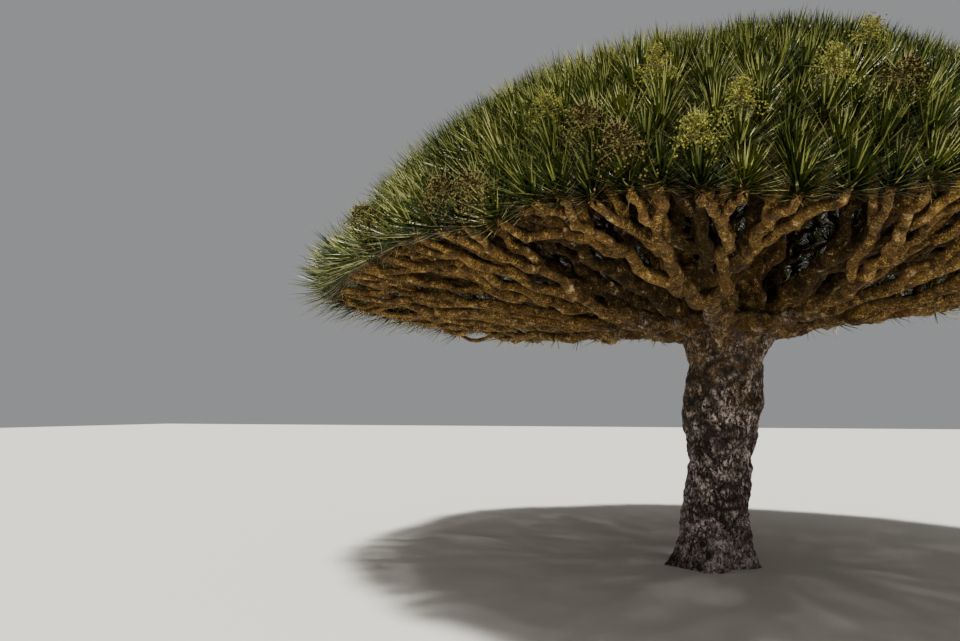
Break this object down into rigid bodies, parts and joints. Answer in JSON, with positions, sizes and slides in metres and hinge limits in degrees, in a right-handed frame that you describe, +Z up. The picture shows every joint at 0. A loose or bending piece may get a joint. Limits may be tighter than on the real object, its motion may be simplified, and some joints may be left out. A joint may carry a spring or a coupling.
{
  "type": "dragon blood tree",
  "caption": "Umbrella-crowned tree: a stout leaning trunk forks into boughs and twigs that hold up a dome of sword-leaf rosettes.",
  "frame": {"origin": "middle of the flat cut under the trunk, at ground level", "axes": "+Z up; +X to the right and +Y away, seen from the front, so the trunk leans towards +X"},
  "size_m": [8.7964, 8.5, 5.6788],
  "materials": {
    "trunk_bark": "rough grey-brown bark with pale scaly patches and dark scars",
    "limb_bark": "knobbly ochre-brown bark with pale flakes",
    "foliage": "stiff sword leaves with a waxy sheen, some tips dry"
  },
  "bodies": {
    "root": {"bough_rim_1": "limb_bark", "bough_rim_2": "limb_bark", "bough_rim_3": "limb_bark", "bough_rim_4": "limb_bark", "bough_rim_5": "limb_bark", "bough_rim_6": "limb_bark", "bough_rim_7": "limb_bark", "bough_rim_8": "limb_bark", "bough_rim_9": "limb_bark", "bough_shoulder_1": "limb_bark", "bough_shoulder_2": "limb_bark", "bough_shoulder_3": "limb_bark", "bough_shoulder_4": "limb_bark", "bough_shoulder_5": "limb_bark", "bough_shoulder_6": "limb_bark", "bough_shoulder_7": "limb_bark", "bough_shoulder_8": "limb_bark", "bough_top_1": "limb_bark", "bough_top_2": "limb_bark", "bough_top_3": "limb_bark", "bough_top_4": "limb_bark", "foliage_rim_1": "foliage", "foliage_rim_2": "foliage", "foliage_rim_3": "foliage", "foliage_rim_4": "foliage", "foliage_rim_5": "foliage", "foliage_rim_6": "foliage", "foliage_rim_7": "foliage", "foliage_rim_8": "foliage", "foliage_rim_9": "foliage", "foliage_shoulder_1": "foliage", "foliage_shoulder_2": "foliage", "foliage_shoulder_3": "foliage", "foliage_shoulder_4": "foliage", "foliage_shoulder_5": "foliage", "foliage_shoulder_6": "foliage", "foliage_shoulder_7": "foliage", "foliage_shoulder_8": "foliage", "foliage_top_1_a": "foliage", "foliage_top_1_b": "foliage", "foliage_top_2_a": "foliage", "foliage_top_2_b": "foliage", "foliage_top_3_a": "foliage", "foliage_top_3_b": "foliage", "foliage_top_4_a": "foliage", "foliage_top_4_b": "foliage", "limb_top_1_a": "limb_bark", "limb_top_1_b": "limb_bark", "limb_top_2_a": "limb_bark", "limb_top_2_b": "limb_bark", "limb_top_3_a": "limb_bark", "limb_top_3_b": "limb_bark", "limb_top_4_a": "limb_bark", "limb_top_4_b": "limb_bark", "trunk": "trunk_bark"}
  },
  "joints": []
}
